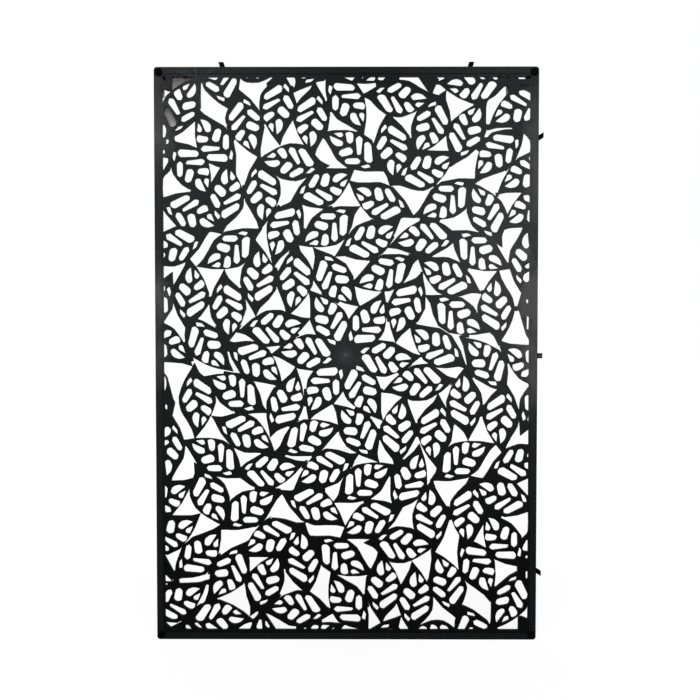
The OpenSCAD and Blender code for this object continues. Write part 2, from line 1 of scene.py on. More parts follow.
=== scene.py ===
# %% [markdown]
# # A leaf-pattern screen panel
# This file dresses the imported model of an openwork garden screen, 600 by 900 mm, moulded in
# charcoal plastic, with black snap clips on two edges and a black plug in each corner.
# All of it could be drawn afresh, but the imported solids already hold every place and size. So
# the clips and plugs are shown as they were packed, and only the panel gets new meshes, whose
# outlines are read from its solid and then smoothed.
# Everything is in metres: X to the right, Z up, and the front face looks along -Y. Lengths
# that are read off the panel are written in millimetres and multiplied by MM.

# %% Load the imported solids
import math

import bmesh
import bpy
from mathutils import Euler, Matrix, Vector
from mathutils.geometry import delaunay_2d_cdt, intersect_point_line


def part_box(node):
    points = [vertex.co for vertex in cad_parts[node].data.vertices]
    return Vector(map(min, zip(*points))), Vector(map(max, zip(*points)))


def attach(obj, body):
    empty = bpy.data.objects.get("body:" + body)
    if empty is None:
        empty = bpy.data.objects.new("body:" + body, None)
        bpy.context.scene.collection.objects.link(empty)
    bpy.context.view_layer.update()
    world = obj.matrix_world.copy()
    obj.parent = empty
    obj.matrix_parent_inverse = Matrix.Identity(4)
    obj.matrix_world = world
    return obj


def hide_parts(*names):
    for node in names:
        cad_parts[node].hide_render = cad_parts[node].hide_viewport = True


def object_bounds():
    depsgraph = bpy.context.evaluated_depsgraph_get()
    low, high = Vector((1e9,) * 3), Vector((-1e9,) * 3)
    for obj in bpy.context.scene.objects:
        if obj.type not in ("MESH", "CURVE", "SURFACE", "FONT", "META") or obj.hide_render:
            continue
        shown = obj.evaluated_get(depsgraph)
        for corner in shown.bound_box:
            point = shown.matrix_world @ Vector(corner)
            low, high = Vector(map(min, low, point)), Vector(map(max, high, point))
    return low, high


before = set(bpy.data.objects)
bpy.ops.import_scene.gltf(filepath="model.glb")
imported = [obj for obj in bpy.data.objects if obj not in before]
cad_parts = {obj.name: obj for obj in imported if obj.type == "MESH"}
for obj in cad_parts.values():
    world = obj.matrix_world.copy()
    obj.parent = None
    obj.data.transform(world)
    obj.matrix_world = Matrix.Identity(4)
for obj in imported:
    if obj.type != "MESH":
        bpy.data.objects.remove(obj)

MM = 0.001

cad_low, cad_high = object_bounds()
cad_box = [list(cad_low), list(cad_high)]
print("solids:", ", ".join(sorted(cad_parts)))
print("box of the solids in metres:", cad_box)

# %% [markdown]
# ## Sums on sockets
# A material is a graph of nodes, and a mask such as "near the middle, but less at the edge" is
# plain arithmetic. Nodes could be added and linked by hand, one line each, but the sum is then
# hard to read. Here a small class wraps a socket, so that 1 - mask or mask * 0.3 adds the Math
# node by itself. Colours go through Mix nodes, because a Math node would turn them grey.


# %% A socket that can be used in a sum
class Value:
    """An output socket of a material; each operator adds one Math node."""

    def __init__(self, tree, socket):
        self.tree = tree
        self.socket = socket

    def math(self, operation, *terms, clamp=False):
        node = self.tree.nodes.new("ShaderNodeMath")
        node.operation = operation
        node.use_clamp = clamp
        for slot, term in zip(node.inputs, terms):
            feed(self.tree, slot, term)
        return Value(self.tree, node.outputs[0])

    def __add__(self, other):
        return self.math("ADD", self, other)

    def __sub__(self, other):
        return self.math("SUBTRACT", self, other)

    def __rsub__(self, other):
        return self.math("SUBTRACT", other, self)

    def __mul__(self, other):
        return self.math("MULTIPLY", self, other)

    def __truediv__(self, other):
        return self.math("DIVIDE", self, other)

    def __rtruediv__(self, other):
        return self.math("DIVIDE", other, self)

    __radd__ = __add__
    __rmul__ = __mul__

    def root(self):
        return self.math("SQRT", self)

    def size(self):
        return self.math("ABSOLUTE", self)

    def largest(self, other):
        return self.math("MAXIMUM", self, other)

    def positive(self):
        """1 where the value is over 0, else 0."""
        return self.math("GREATER_THAN", self, 0.0)

    def clamped(self):
        return self.math("ADD", self, 0.0, clamp=True)


def feed(tree, socket, value):
    """Links a Value to a socket, or writes a number, vector or colour on it."""
    if isinstance(value, Value):
        tree.links.new(value.socket, socket)
    elif isinstance(value, (tuple, list)) and socket.type == "RGBA" and len(value) == 3:
        socket.default_value = (*value, 1.0)
    else:
        socket.default_value = value


# %% [markdown]
# ## One method for every other node
# Noise, ramps, Mix and Bump nodes differ only in their settings and in what their sockets get.
# A class for each kind would work, but one method is less to learn: node() takes the kind of
# node, sets its settings first, and then fills its sockets by name or by number. The short
# methods under it only name the kinds that come back often. The world is made of nodes too, so
# it is made in the same way.


# %% A material that is being made
class Finish:
    """A new material, or a new world, whose nodes are added by node()."""

    def __init__(self, name, world=False):
        library = bpy.data.worlds if world else bpy.data.materials
        self.material = library.new(name)
        self.material.use_nodes = True
        self.tree = self.material.node_tree
        self.tree.nodes.clear()

    def node(self, kind, settings=None, sockets=None, output=0):
        made = self.tree.nodes.new("ShaderNode" + kind)
        for key, value in (settings or {}).items():
            if key == "stops":
                ramp = made.color_ramp
                while len(ramp.elements) < len(value):
                    ramp.elements.new(0.5)
                for stop, (place, shade) in zip(ramp.elements, value):
                    stop.position = place
                    stop.color = (shade, shade, shade, 1.0)
            else:
                setattr(made, key, value)
        for key, value in (sockets or {}).items():
            feed(self.tree, made.inputs[key], value)
        return Value(self.tree, made.outputs[output]) if len(made.outputs) else None

    def place(self):
        """Where on the object a point lies, in metres."""
        return self.node("TexCoord", output="Object")

    def across_and_up(self):
        """How far to the right and how far up a point lies, in metres."""
        across = self.node("SeparateXYZ", {}, {"Vector": self.place()}, output="X")
        return across, Value(self.tree, across.socket.node.outputs["Z"])

    def noise(self, scale, detail=3.0, rough=0.5, place=None):
        sockets = {"Vector": place or self.place(), "Scale": scale, "Detail": detail}
        return self.node("TexNoise", {}, {**sockets, "Roughness": rough})

    def rise(self, value, start, end):
        """0 where a value is under start, 1 where it is over end."""
        return self.node("ValToRGB", {"stops": [(start, 0.0), (end, 1.0)]}, {"Fac": value})

    def blend(self, mask, low, high):
        """Colour low where the mask is 0, colour high where it is 1 or more."""
        settings = {"data_type": "RGBA", "blend_type": "MIX"}
        return self.node("Mix", settings, {0: mask, 6: low, 7: high}, output=2)

    def bump(self, strength, distance, height):
        sockets = {"Strength": strength, "Distance": distance, "Height": height}
        return self.node("Bump", {}, sockets)

    def plastic(self, **sockets):
        """Ends the material with one shader, its sockets named with _ for a space."""
        named = {key.replace("_", " "): value for key, value in sockets.items()}
        shader = self.node("BsdfPrincipled", {}, named)
        self.node("OutputMaterial", {}, {"Surface": shader})
        print("finish:", self.material.name, "with", len(self.tree.nodes), "nodes")
        return self.material


# %% [markdown]
# ## Soft spots
# The moulding has pale, cloudy places round the gate in the very middle. The side bars and some
# leaves at the right have pale places too, which are painted reflection of the side lamps. A
# picture could be painted and wrapped on, but a spot that is worked out from the distance to a
# point stays sharp at any size. The edge of each spot is torn up by noise, as a cloud in a
# moulding has no clean rim.

# %% A cloudy spot round a point
TEAR_SCALE = 28.0


def spot(finish, x, z, wide, high, ragged=0.0):
    """1 at the point (x, z) of the face, 0 at wide or high metres from it."""
    across, up = finish.across_and_up()
    aside = (across - x) / wide
    above = (up - z) / high
    reach = (aside * aside + above * above).root()
    if ragged:
        tear = finish.noise(TEAR_SCALE, detail=5.0, rough=0.6) - 0.5
        reach = reach + tear * ragged
    return (1.0 - reach).clamped()


# %% [markdown]
# ## Stars of streaks
# Round the gate, and round a point at the upper left, fine pale streaks run outwards in the
# plastic. A noise that is stretched along one line would give parallel streaks. Here the angle
# round the point is the noise's first coordinate, so the streaks fan out from the point, and
# the other two make them change a little on their way.

# %% Streaks that fan out
STREAK_DRIFT = 4.0


def star(finish, x, z, reach):
    """Streaks round the point (x, z) of the face, 0 beyond the reach, all in metres."""
    across, up = finish.across_and_up()
    aside, above = across - x, up - z
    angle = above.math("ARCTAN2", above, aside)
    drift = {"Y": aside * STREAK_DRIFT, "Z": above * STREAK_DRIFT}
    fan = finish.node("CombineXYZ", {}, {"X": angle, **drift})
    streaks = finish.rise(finish.noise(5.0, detail=2.0, rough=0.6, place=fan), 0.42, 0.62)
    return streaks * spot(finish, x, z, reach, reach)


# %% [markdown]
# ## Charcoal plastic
# The panel is one charcoal moulding. That it is a little pale and blue at the top and almost
# black at the foot is painted light: the reflection of the lamp above, fading to painted shade.
# The lamps could be aimed past the foot, but light can't be cut off so finely, and the view from
# behind would change with it. So the fading is drawn in the colour, from the height of each
# point. Under soft light the plastic also looks cloudy: clouds as wide as a leaf, and a mottle
# of a few millimetres, lift the colour a little, and less towards the foot; they are partly flow
# haze in the plastic and partly painted sheen.

# %% The shade from the foot to the top
PAINTED_SHADE = (0.0022, 0.0022, 0.0023)
MIDDLE = (0.0245, 0.0253, 0.0260)
BLUISH = (0.0400, 0.0440, 0.0475)
FOOT_Z, HEAD_Z = -0.31, 0.20
CLOUDY, MOTTLED = 0.45, 0.50

charcoal = Finish("charcoal_plastic")
across, height = charcoal.across_and_up()
# Painted light: paler at the top from the lamp above, painted shade down to the foot.
painted_light_rise = ((height - FOOT_Z) / (HEAD_Z - FOOT_Z)).clamped()
shade = charcoal.blend(painted_light_rise, PAINTED_SHADE, MIDDLE)
# Clouds and mottle: partly flow haze in the plastic, partly painted sheen that fades with the
# painted light.
cloud = charcoal.rise(charcoal.noise(11.0, detail=5.0, rough=0.6), 0.38, 0.66)
shade = charcoal.blend(cloud * painted_light_rise * CLOUDY, shade, BLUISH)
mottle = charcoal.rise(charcoal.noise(420.0, detail=3.0, rough=0.7), 0.35, 0.70)
shade = charcoal.blend(mottle * painted_light_rise * MOTTLED, shade, BLUISH)
print("fades from z =", HEAD_Z, "m down to z =", FOOT_Z, "m")

# %% [markdown]
# ## Painted shade and a paler tone on the bar
# The frame bar is a little paler than the lattice, and the top bar has a darker stretch in its
# middle, which is painted shade where the top mirrors no lamp. The bar could have a second
# material, but it is one moulding with the lattice and has the same grain. So a mask marks every
# point outside the window of the frame, and the paler tone on it is stronger at the foot, where
# the rest is darkest.

# %% A paler bar, and painted shade in the middle of the top
BAR_X, BAR_Z = 289.5, 439.5
LIFT_AT_FOOT, LIFT_AT_HEAD = 0.24, 0.10
PAINTED_SHADE_STRETCH = (0.03, 0.440, 0.280, 0.110, 0.4)
DARKER = 0.75

# Painted shade: the top bar is darkened in its middle, where it mirrors no lamp.
shade = charcoal.blend(spot(charcoal, *PAINTED_SHADE_STRETCH) * DARKER, shade, PAINTED_SHADE)
past_side = across.size() - BAR_X * MM
past_end = height.size() - BAR_Z * MM
on_bar = past_side.largest(past_end).positive()
bar_lift = LIFT_AT_FOOT - painted_light_rise * (LIFT_AT_FOOT - LIFT_AT_HEAD)
shade = charcoal.blend(on_bar * bar_lift, shade, BLUISH)
print("window of the frame in mm:", 2 * BAR_X, "by", 2 * BAR_Z)

# %% [markdown]
# ## Pale patches
# Pale patches lie on both side bars, over some leaves at the right, and round the gate, where
# the melt came in. Each is one soft spot, laid over the shade in turn. They could all be one
# noise with a high threshold, but then they would not be where the photograph has them.

# %% Patches and stars
GATE_X, GATE_Z = -1.0, 0.5
HAZE_AND_REFLECTION = (0.120, 0.120, 0.121)
STREAK = (0.0850, 0.0920, 0.0980)
# Each row: x, z, half the width and half the height in metres, strength, raggedness.
# The first three rows are the moulding's haze round the gate; the others, on the side bars and
# the leaves at the right, are painted reflection of the side lamps.
PATCHES = [
    (0.0, 0.0, 0.060, 0.060, 0.20, 0.5),
    (GATE_X * MM, GATE_Z * MM, 0.016, 0.016, 0.35, 0.3),
    (GATE_X * MM, GATE_Z * MM, 0.0040, 0.0040, 3.00, 0.3),
    (0.297, 0.075, 0.030, 0.110, 2.20, 2.4),
    (0.295, 0.035, 0.030, 0.050, 0.60, 2.0),
    (0.296, -0.045, 0.028, 0.070, 0.60, 1.5),
    (0.240, 0.110, 0.140, 0.260, 0.42, 1.0),
    (-0.296, 0.100, 0.022, 0.060, 1.10, 2.0),
    (-0.296, 0.000, 0.022, 0.070, 0.50, 1.5),
    (-0.296, 0.350, 0.030, 0.090, 0.80, 1.5),
    (0.296, 0.300, 0.025, 0.160, 0.75, 1.5),
]
# Each row: x, z and reach in metres, strength.
STARS = [
    (-0.232, 0.428, 0.050, 0.75),
    (GATE_X * MM, GATE_Z * MM, 0.030, 0.35),
]
for x, z, wide, high, strength, ragged in PATCHES:
    shade = charcoal.blend(spot(charcoal, x, z, wide, high, ragged) * strength, shade, HAZE_AND_REFLECTION)
for x, z, reach, strength in STARS:
    shade = charcoal.blend(star(charcoal, x, z, reach) * strength, shade, STREAK)
print("patches:", len(PATCHES), "stars:", len(STARS))

# %% [markdown]
# ## Grain and gloss
# Close up, the face has a fine satin grain on a slight ripple, and its gloss differs a little
# from place to place. Real bumps would need millions of faces, so a Bump node bends the light
# instead. The specular level is low and the same all over, because the dark foot would
# otherwise mirror the white room and turn grey.

# %% The finish of the panel
GRAIN_SCALE, RIPPLE_SCALE, GLOSS_SCALE = 1500.0, 60.0, 9.0
RIPPLE_HEIGHT = 1.5
SATIN, SATIN_RANGE = 0.36, 0.16

grain = charcoal.noise(GRAIN_SCALE, detail=2.0)
ripple = charcoal.noise(RIPPLE_SCALE, detail=2.0)
relief = charcoal.bump(0.25, 0.0002, grain + ripple * RIPPLE_HEIGHT)
gloss = charcoal.noise(GLOSS_SCALE, detail=4.0, rough=0.6) * SATIN_RANGE + SATIN
panel_finish = charcoal.plastic(
    Base_Color=shade, Roughness=gloss, Normal=relief, Specular_IOR_Level=0.04
)

# %% [markdown]
# ## Black plastic
# Plugs and clips are a second, blacker plastic with a little wear; the plates of painted shade in
# small dark holes and round closed cells use it too. They are small, so the grain is finer and
# the shade varies within a few millimetres. The clip in the middle of the side is hollow, and its
# hollow shows pale against the white ground. A hole could be cut, but that would change the
# imported clip, so it is a pale spot at the clip's middle.

# %% The finish of the plugs and clips
HALF_W = 300.0
INK, WORN = (0.0012, 0.0012, 0.0013), (0.0060, 0.0060, 0.0063)
HOLLOW = (0.20, 0.20, 0.20)
HOLLOW_WIDE, HOLLOW_HIGH, HOLLOW_EDGE = 0.0035, 0.0022, 2.5

black = Finish("black_plastic")
scuff = black.rise(black.noise(260.0, detail=4.0, rough=0.6), 0.55, 0.75)
black_shade = black.blend(scuff * 0.5, INK, WORN)
clip_low, clip_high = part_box("side_clip_middle")
hollow_x = (clip_high[0] + HALF_W * MM) / 2
hollow_z = (clip_low[2] + clip_high[2]) / 2
hollow = spot(black, hollow_x, hollow_z, HOLLOW_WIDE, HOLLOW_HIGH) * HOLLOW_EDGE
black_shade = black.blend(hollow.clamped(), black_shade, HOLLOW)
black_relief = black.bump(0.2, 0.0001, black.noise(2200.0, detail=2.0))
black_finish = black.plastic(
    Base_Color=black_shade, Roughness=scuff * 0.2 + 0.50, Normal=black_relief,
    Specular_IOR_Level=0.02,
)

# %% [markdown]
# ## Dressing the solids
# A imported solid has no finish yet. Its faces could be given several, but each solid here is one
# moulding in one plastic, so its list of materials is emptied and gets a single entry.

# %% Dress the solids
for name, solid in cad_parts.items():
    solid.data.materials.clear()
    solid.data.materials.append(panel_finish if name == "panel" else black_finish)
print("dressed", len(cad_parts), "solids")

# %% [markdown]
# ## Outlines of the openwork
# A moulded leaf cell has soft, curved sides, but the solid draws each one with the fewest
# corners that its file can bear. The curves could be drawn all over again, leaf by leaf. It is
# surer to cut the solid with a plane halfway through the lattice, and to read off each outline
# there: then no cell can end up in another place.

# %% Keep only the corners of an outline
SAME_PLACE = 0.02
STRAIGHT = math.radians(0.6)


def without_straight_points(outline):
    """The outline without the points that lie on a straight line or on each other."""
    kept = []
    for point in outline:
        if not kept or (point - kept[-1]).length > SAME_PLACE * MM:
            kept.append(point)
    if (kept[0] - kept[-1]).length < SAME_PLACE * MM:
        kept.pop()
    corners = []
    for step, point in enumerate(kept):
        arriving = point - kept[step - 1]
        leaving = kept[(step + 1) % len(kept)] - point
        if arriving.angle(leaving) > STRAIGHT:
            corners.append(point)
    return corners


# %% Cut the solid and follow the outlines
WELD = 0.002
LATTICE_MIDDLE = -7.0


def section(solid, level):
    """The closed outlines, in metres, where the plane y = level in mm cuts a solid."""
    form = bmesh.new()
    form.from_mesh(solid.data)
    bmesh.ops.remove_doubles(form, verts=form.verts, dist=WELD * MM)
    everything = form.verts[:] + form.edges[:] + form.faces[:]
    cut = bmesh.ops.bisect_plane(
        form, geom=everything, plane_co=(0.0, level * MM, 0.0), plane_no=(0.0, 1.0, 0.0)
    )
    beside = {}
    for edge in cut["geom_cut"]:
        if isinstance(edge, bmesh.types.BMEdge):
            one, two = edge.verts
            beside.setdefault(one, []).append(two)
            beside.setdefault(two, []).append(one)
    found = []
    followed = set()
    for first in beside:
        if first in followed:
            continue
        outline = []
        here = first
        while here is not None:
            followed.add(here)
            outline.append(Vector((here.co.x, here.co.z)))
            onward = [vert for vert in beside[here] if vert not in followed]
            here = onward[0] if onward else None
        found.append(without_straight_points(outline))
    form.free()
    return found


outlines = section(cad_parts["panel"], LATTICE_MIDDLE)
print("outlines:", len(outlines), "with", sum(map(len, outlines)), "corners")

# %% [markdown]
# ## Soft curves through the corners
# Cutting every corner off would round the cells but also shrink them. Here a curve runs through
# the corners instead. Its direction at each one follows the longer of the two sides, so a short
# side between two long ones swells into the arc that it stands for, and long sides stay as
# straight as they were. Where an outline turns by more than 52 degrees it keeps a corner, with
# its tip cut off, and less of the tip where the cell ends in a point.

# %% Cut the tips off
SHARP = math.radians(52)
POINTED = math.radians(100)
POINTED_SHARE = 0.4


def with_cut_corners(outline, reach):
    """Each sharp corner becomes a short side, a pointed one a shorter side."""
    points = []
    for step, point in enumerate(outline):
        before = point - outline[step - 1]
        after = outline[(step + 1) % len(outline)] - point
        turn = before.angle(after)
        if turn < SHARP:
            points.append(point)
            continue
        share = POINTED_SHARE if turn > POINTED else 1.0
        cut = min(share * reach, before.length / 3, after.length / 3)
        points.append(point - before.normalized() * cut)
        points.append(point + after.normalized() * cut)
    return points


# %% Directions at the corners
def directions(outline):
    """For each corner, the direction in which a curve arrives and the one in which it leaves."""
    arrive, leave = [], []
    for step, point in enumerate(outline):
        before = point - outline[step - 1]
        after = outline[(step + 1) % len(outline)] - point
        if before.angle(after) > SHARP:
            arrive.append(before.normalized())
            leave.append(after.normalized())
        else:
            mean = (before * before.length + after * after.length).normalized()
            arrive.append(mean)
            leave.append(mean)
    return arrive, leave


# %% Curve an outline
SMALL_CELL = 230.0
SMALL_CUT, LARGE_CUT = 1.8, 1.0
SLIGHT_BEND, PLAIN_BEND = 0.12, 0.45


def area(outline):
    """Positive where the outline runs counter-clockwise."""
    total = 0.0
    for step, point in enumerate(outline):
        total += outline[step - 1].cross(point)
    return total / 2


def curved(outline):
    """The outline with a smooth curve through all but its sharp corners."""
    small = abs(area(outline)) < SMALL_CELL * MM * MM
    outline = with_cut_corners(outline, (SMALL_CUT if small else LARGE_CUT) * MM)
    arrive, leave = directions(outline)
    points = []
    for step, start in enumerate(outline):
        after = (step + 1) % len(outline)
        end = outline[after]
        side = end - start
        near_start = start + leave[step] * (side.length / 3)
        near_end = end - arrive[after] * (side.length / 3)
        bend = leave[step].angle(side) + side.angle(arrive[after])
        parts = 1 if bend < SLIGHT_BEND else 2 if bend < PLAIN_BEND else 3
        for part in range(parts):
            t = part / parts
            points.append(
                start * (1 - t) ** 3 + near_start * 3 * t * (1 - t) ** 2
                + near_end * 3 * t * t * (1 - t) + end * t ** 3
            )
    return points


# %% [markdown]
# ## A slab with openings
# The bar and the lattice are both slabs: one outer outline, many openings, a front and a back,
# and a small chamfer round every front edge. Blender's own curve fill could close the faces,
# but with hundreds of openings it is slow and slips. A triangulation that is bound to the
# outlines does it in a moment, and the sides and chamfers are plain strips between copies of an
# outline. Where two curved outlines would cross, both are drawn a little plainer and the fill
# is tried again.


# %% Move an outline
def inset(outline, distance):
    """The outline moved to its left by a distance, which is into the material."""
    least_length, least_lean = 0.2, 0.6
    moved = []
    for step, point in enumerate(outline):
        before = (point - outline[step - 1]).normalized()
        after = (outline[(step + 1) % len(outline)] - point).normalized()
        left = Vector((-before.y - after.y, before.x + after.x))
        if left.length < least_length:
            left = Vector((-after.y, after.x))
        left.normalize()
        lean = max(least_lean, left.dot(Vector((-after.y, after.x))))
        moved.append(point + left * (distance / lean))
    return moved


# %% Fill between outlines
CLOSE_BY = 0.6
BEYOND_END = 0.05
KEEP_INSIDE = 2
SAME_POINT = 1e-9


def fill(loops, insets):
    """The points, edges and triangles between the inset loops, and where loops cross."""
    points, edges = [], []
    for loop, distance in zip(loops, insets):
        first, count = len(points), len(loop)
        points += inset(loop, distance) if distance else loop
        edges += [(first + step, first + (step + 1) % count) for step in range(count)]
    whole = [tuple(range(len(loops[0])))]
    filled = delaunay_2d_cdt(points, edges, whole, KEEP_INSIDE, SAME_POINT)
    crossings = [point for point, source in zip(filled[0], filled[3]) if not source]
    return filled[0], edges, filled[2], crossings


def runs_near(loop, place):
    """Whether a side of the loop passes within CLOSE_BY of a place."""
    for step, point in enumerate(loop):
        foot, share = intersect_point_line(place, loop[step - 1], point)
        beside = -BEYOND_END < share < 1 + BEYOND_END
        if beside and (foot.xy - place).length < CLOSE_BY * MM:
            return True
    return False


# %% Fill until nothing crosses
MOST_TRIES = 6


def cleared(name, plain, insets):
    """Curves the plain loops and fills between them until no two of them cross.

    A loop near a crossing first loses its inset, and on a later try its curves.
    """
    loops = [curved(loop) for loop in plain]
    for _ in range(MOST_TRIES):
        points, edges, triangles, crossings = fill(loops, insets)
        print(name, "crossings:", len(crossings))
        if not crossings:
            break
        for step, loop in enumerate(loops):
            if any(runs_near(loop, place) for place in crossings):
                if insets[step] == 0.0:
                    loops[step] = plain[step]
                insets[step] = 0.0
    return loops, points, edges, triangles


# %% Turn points and faces into a piece
def outward_mesh(name, points, faces):
    """A mesh of the points and faces, each face turned to look outwards."""
    mesh = bpy.data.meshes.new(name)
    mesh.from_pydata(points, [], faces)
    form = bmesh.new()
    form.from_mesh(mesh)
    bmesh.ops.recalc_face_normals(form, faces=form.faces)
    open_edges = sum(1 for edge in form.edges if len(edge.link_faces) != 2)
    form.to_mesh(mesh)
    form.free()
    print("mesh:", name, "points", len(points), "open edges", open_edges)
    return mesh


def link(name, mesh, finish):
    """Puts a mesh in the scene as a piece of the panel."""
    piece = bpy.data.objects.new(name, mesh)
    bpy.context.scene.collection.objects.link(piece)
    mesh.materials.append(finish)
    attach(piece, "root")
    "black_plastic" if finish == black_finish else "charcoal_plastic"
    print("piece:", name, "with", len(mesh.polygons), "faces")
    return piece


# %% Make a slab
def slab(name, outer, openings, back, front, chamfer, inner, finish):
    """A flat piece from y = back to y = front in mm, its outlines in metres.

    The front edges are chamfered by chamfer in depth. In width, the outer edge is chamfered by
    chamfer and the openings by inner, and the sides lean in by as much towards the back, like
    the draft of a mould.
    """
    outer = outer if area(outer) > 0 else outer[::-1]
    plain = [outer] + [loop[::-1] if area(loop) > 0 else loop for loop in openings]
    insets = [chamfer * MM] + [inner * MM] * len(openings)
    loops, flat, edges, triangles = cleared(name, plain, insets)
    count = len(flat)
    points = [(p.x, front * MM, p.y) for p in flat]
    points += [(p.x, (front + chamfer) * MM, p.y) for loop in loops for p in loop]
    points += [(p.x, back * MM, p.y) for p in flat]
    faces = [tuple(triangle) for triangle in triangles]
    faces += [tuple(2 * count + corner for corner in reversed(turn)) for turn in triangles]
    for one, two in edges:
        for upper, lower in ((0, count), (count, 2 * count)):
            faces.append((upper + one, lower + one, lower + two, upper + two))
    return link(name, outward_mesh(name, points, faces), finish)


# %% [markdown]
# ## Bar and lattice
# The real panel is one moulding, 10 mm deep at the bar and 5 mm in the openwork. It could be
# one mesh with a step, but the step would have to be cut out of every cell that touches the
# bar. Drawn as two slabs, the lattice reaching a little way under the bar, it looks the same,
# and each keeps its own chamfer. A boss round each plug juts into the window of the frame.

# %% Outlines of the bar
PLUG_X, PLUG_Z = 292.5, 442.0
BOSS_RADIUS, SCREW_RADIUS = 7.25, 2.5
HALF_H, CORNER_RADIUS = 450.0, 5.0
ARC_STEPS, HOLE_STEPS = 8, 32
CORNERS = [(1, 1), (-1, 1), (-1, -1), (1, -1)]


def arc(x, z, radius, start, end, steps):
    """Points in metres on an arc round (x, z) in mm, from start to end in degrees."""
    turns = [math.radians(start + (end - start) * step / steps) for step in range(steps + 1)]
    return [
        Vector(((x + radius * math.cos(turn)) * MM, (z + radius * math.sin(turn)) * MM))
        for turn in turns
    ]


def mirrored(points, side, end):
    """Points of the upper right corner, moved to another corner, in the same turning sense."""
    flipped = [Vector((point.x * side, point.y * end)) for point in points]
    return flipped if side * end > 0 else flipped[::-1]


def round_all_corners(points):
    return [point for side, end in CORNERS for point in mirrored(points, side, end)]


boss_ends_low = 180 + math.degrees(math.asin((PLUG_Z - BAR_Z) / BOSS_RADIUS))
boss_ends_high = 270 - math.degrees(math.asin((PLUG_X - BAR_X) / BOSS_RADIUS))
boss = arc(PLUG_X, PLUG_Z, BOSS_RADIUS, boss_ends_high, boss_ends_low, ARC_STEPS)
corner = arc(HALF_W - CORNER_RADIUS, HALF_H - CORNER_RADIUS, CORNER_RADIUS, 0, 90, ARC_STEPS)
screw = arc(PLUG_X, PLUG_Z, SCREW_RADIUS, 0, 360, HOLE_STEPS)[:-1]
bar_openings = [round_all_corners(boss)]
bar_openings += [mirrored(screw, side, end) for side, end in CORNERS]
print("openings in the bar:", len(bar_openings))

# %% The two slabs
PANEL_BACK, PANEL_FRONT = 0.0, -10.0
LATTICE_BACK, LATTICE_FRONT = -4.5, -9.5
BAR_CHAMFER, WINDOW_CHAMFER, LATTICE_CHAMFER = 0.5, 0.05, 0.15
UNDER_BAR = 0.4
SMALLEST_CELL = 1.5

bar = slab(
    "frame_bar", round_all_corners(corner), bar_openings, PANEL_BACK, PANEL_FRONT,
    BAR_CHAMFER, WINDOW_CHAMFER, panel_finish,
)
cells = [
    outline for outline in outlines
    if max(abs(point.x) for point in outline) < BAR_X * MM
    and abs(area(outline)) > SMALLEST_CELL * MM * MM
]
plate_x, plate_z = (BAR_X + UNDER_BAR) * MM, (BAR_Z + UNDER_BAR) * MM
plate_edge = [Vector((side * plate_x, end * plate_z)) for side, end in CORNERS]
lattice = slab(
    "leaf_lattice", plate_edge, cells, LATTICE_BACK, LATTICE_FRONT,
    LATTICE_CHAMFER, LATTICE_CHAMFER, panel_finish,
)
for piece in (bar, lattice):
    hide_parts("panel")
print("cells:", len(cells))

# %% [markdown]
# ## Small plates
# Three kinds of small detail sit on or in the lattice: thin skins of plastic that were left in
# a few openings at the top corners, closed cells beside them, and a short black plate of painted
# shade in the small dark hole beside each upper plug. Each is a flat outline with some thickness.
# A cube per detail would be quicker, but an outline drawn in millimetres follows the opening it
# fills, and its rim can be chamfered.


# %% A chamfered plate from an outline
def plate(name, outline, back, front, rim, finish):
    """A plate whose outline is (x, z) in mm, from y = back to y = front, chamfered by rim."""
    form = bmesh.new()
    low = [form.verts.new((x * MM, back * MM, z * MM)) for x, z in outline]
    face = form.faces.new(low)
    grown = bmesh.ops.extrude_face_region(form, geom=[face])
    top = [item for item in grown["geom"] if isinstance(item, bmesh.types.BMVert)]
    bmesh.ops.translate(form, verts=top, vec=(0.0, (front - back) * MM, 0.0))
    rim_edges = [edge for edge in form.edges if all(vert in top for vert in edge.verts)]
    bmesh.ops.bevel(form, geom=rim_edges, offset=rim * MM, segments=2, affect="EDGES")
    bmesh.ops.recalc_face_normals(form, faces=form.faces)
    mesh = bpy.data.meshes.new(name)
    form.to_mesh(mesh)
    form.free()
    return link(name, mesh, finish)


# %% [markdown]
# ## Thin skins
# Where the mould did not close tightly, a skin of plastic under a millimetre thick stays in the
# opening. Light comes through it, so it looks paler and browner than the bars. Its finish has a
# cloudy shade whose pale parts are painted light coming through, a painted highlight at the
# lower right of the long cell, and more gloss; real transmission would cost render time and
# change little in a skin this dark.

# %% The finish of the skins
SMOKE, PAINTED_LIGHT_THROUGH, HIGHLIGHT_WHITE = (0.110, 0.096, 0.090), (0.420, 0.405, 0.398), (0.55, 0.55, 0.55)
PAINTED_HIGHLIGHT_SPOT = (-0.267, 0.361, 0.012, 0.016, 0.6)

skin = Finish("thin_skin")
skin_cloud = skin.rise(skin.noise(55.0, detail=3.0, rough=0.6), 0.30, 0.70)
# Painted light: the pale parts of the cloud stand for light coming through the skin.
skin_shade = skin.blend(skin_cloud, SMOKE, PAINTED_LIGHT_THROUGH)
# Painted highlight at the lower right of the long cell.
skin_shade = skin.blend(spot(skin, *PAINTED_HIGHLIGHT_SPOT), skin_shade, HIGHLIGHT_WHITE)
skin_relief = skin.bump(0.3, 0.0005, skin.noise(120.0, detail=3.0))
skin_finish = skin.plastic(
    Base_Color=skin_shade, Roughness=skin_cloud * 0.1 + 0.30, Normal=skin_relief
)

